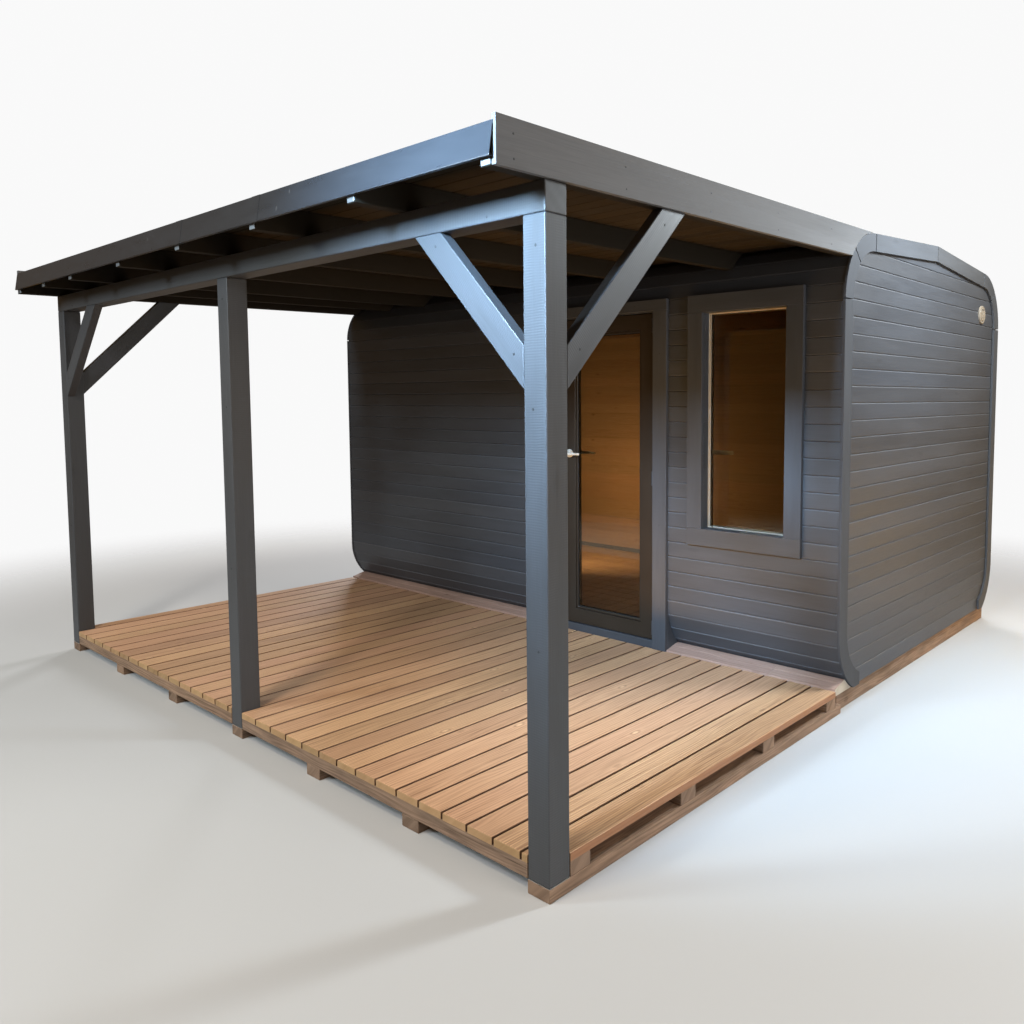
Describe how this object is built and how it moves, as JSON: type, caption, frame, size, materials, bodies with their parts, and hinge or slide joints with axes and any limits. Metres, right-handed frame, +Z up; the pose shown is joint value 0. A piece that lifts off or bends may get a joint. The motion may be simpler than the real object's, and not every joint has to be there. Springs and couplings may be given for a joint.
{
  "type": "sauna cabin with covered terrace",
  "caption": "Sauna cabin with rounded wall corners, a low gabled roof, a glazed door that swings out, a tall fixed window and a covered timber terrace on posts.",
  "frame": {"origin": "on the ground, at the middle of the overall footprint", "axes": "+Z up, +Y from the terrace to the back wall, +X to the right seen from the terrace"},
  "size_m": [4.224, 4.83, 2.477],
  "materials": {
    "painted_wood": "anthracite paint on planed boards",
    "deck_wood": "brown oiled softwood decking",
    "frame_wood": "rough brown pressure-treated timber",
    "pale_wood": "bare planed softwood",
    "door_bronze": "dark bronze satin paint",
    "clear_glass": "polished, bronze tint",
    "roof_felt": "black mineral felt",
    "dark_metal": "glossy dark grey coated sheet",
    "bright_metal": "satin steel"
  },
  "bodies": {
    "cabin": {"deck_skids": "frame_wood", "deck_joists": "frame_wood", "deck_rim": "frame_wood", "deck_boards": "deck_wood", "post_plates": "bright_metal", "posts": "painted_wood", "front_beam": "painted_wood", "knee_braces": "painted_wood", "rafters": "painted_wood", "roof_boarding": "painted_wood", "roof_membrane": "roof_felt", "fascia_left": "painted_wood", "fascia_right": "painted_wood", "drip_flashing": "dark_metal", "base_side_beams": "frame_wood", "base_cross_beams": "frame_wood", "cabin_floor": "pale_wood", "front_wall": "painted_wood", "window_panels": "painted_wood", "front_foot": "painted_wood", "front_top_corner": "painted_wood", "back_wall": "painted_wood", "back_foot": "painted_wood", "back_top_corner": "painted_wood", "roof_front_slope": "painted_wood", "roof_back_slope": "painted_wood", "roof_felt": "roof_felt", "end_wall_left": "painted_wood", "end_wall_right": "painted_wood", "end_trim_left": "painted_wood", "end_trim_right": "painted_wood", "foot_board": "pale_wood", "door_frame": "painted_wood", "door_sill": "painted_wood", "door_casing": "painted_wood", "door_cheeks": "painted_wood", "hinge_frame_halves": "bright_metal", "window_casing": "painted_wood", "window_frame": "pale_wood", "window_glass": "clear_glass", "window_handle": "bright_metal", "vent": "pale_wood"},
    "door": {"door_leaf": "door_bronze", "door_glass": "clear_glass", "door_handles": "bright_metal", "hinge_leaf_halves": "bright_metal"}
  },
  "joints": [
    {"name": "door_hinge", "type": "hinge", "parent": "cabin", "child": "door", "pos_m": [0.964, -0.128, 0.178], "axis": [0, 0, 1], "range_deg": [0, 110]}
  ]
}
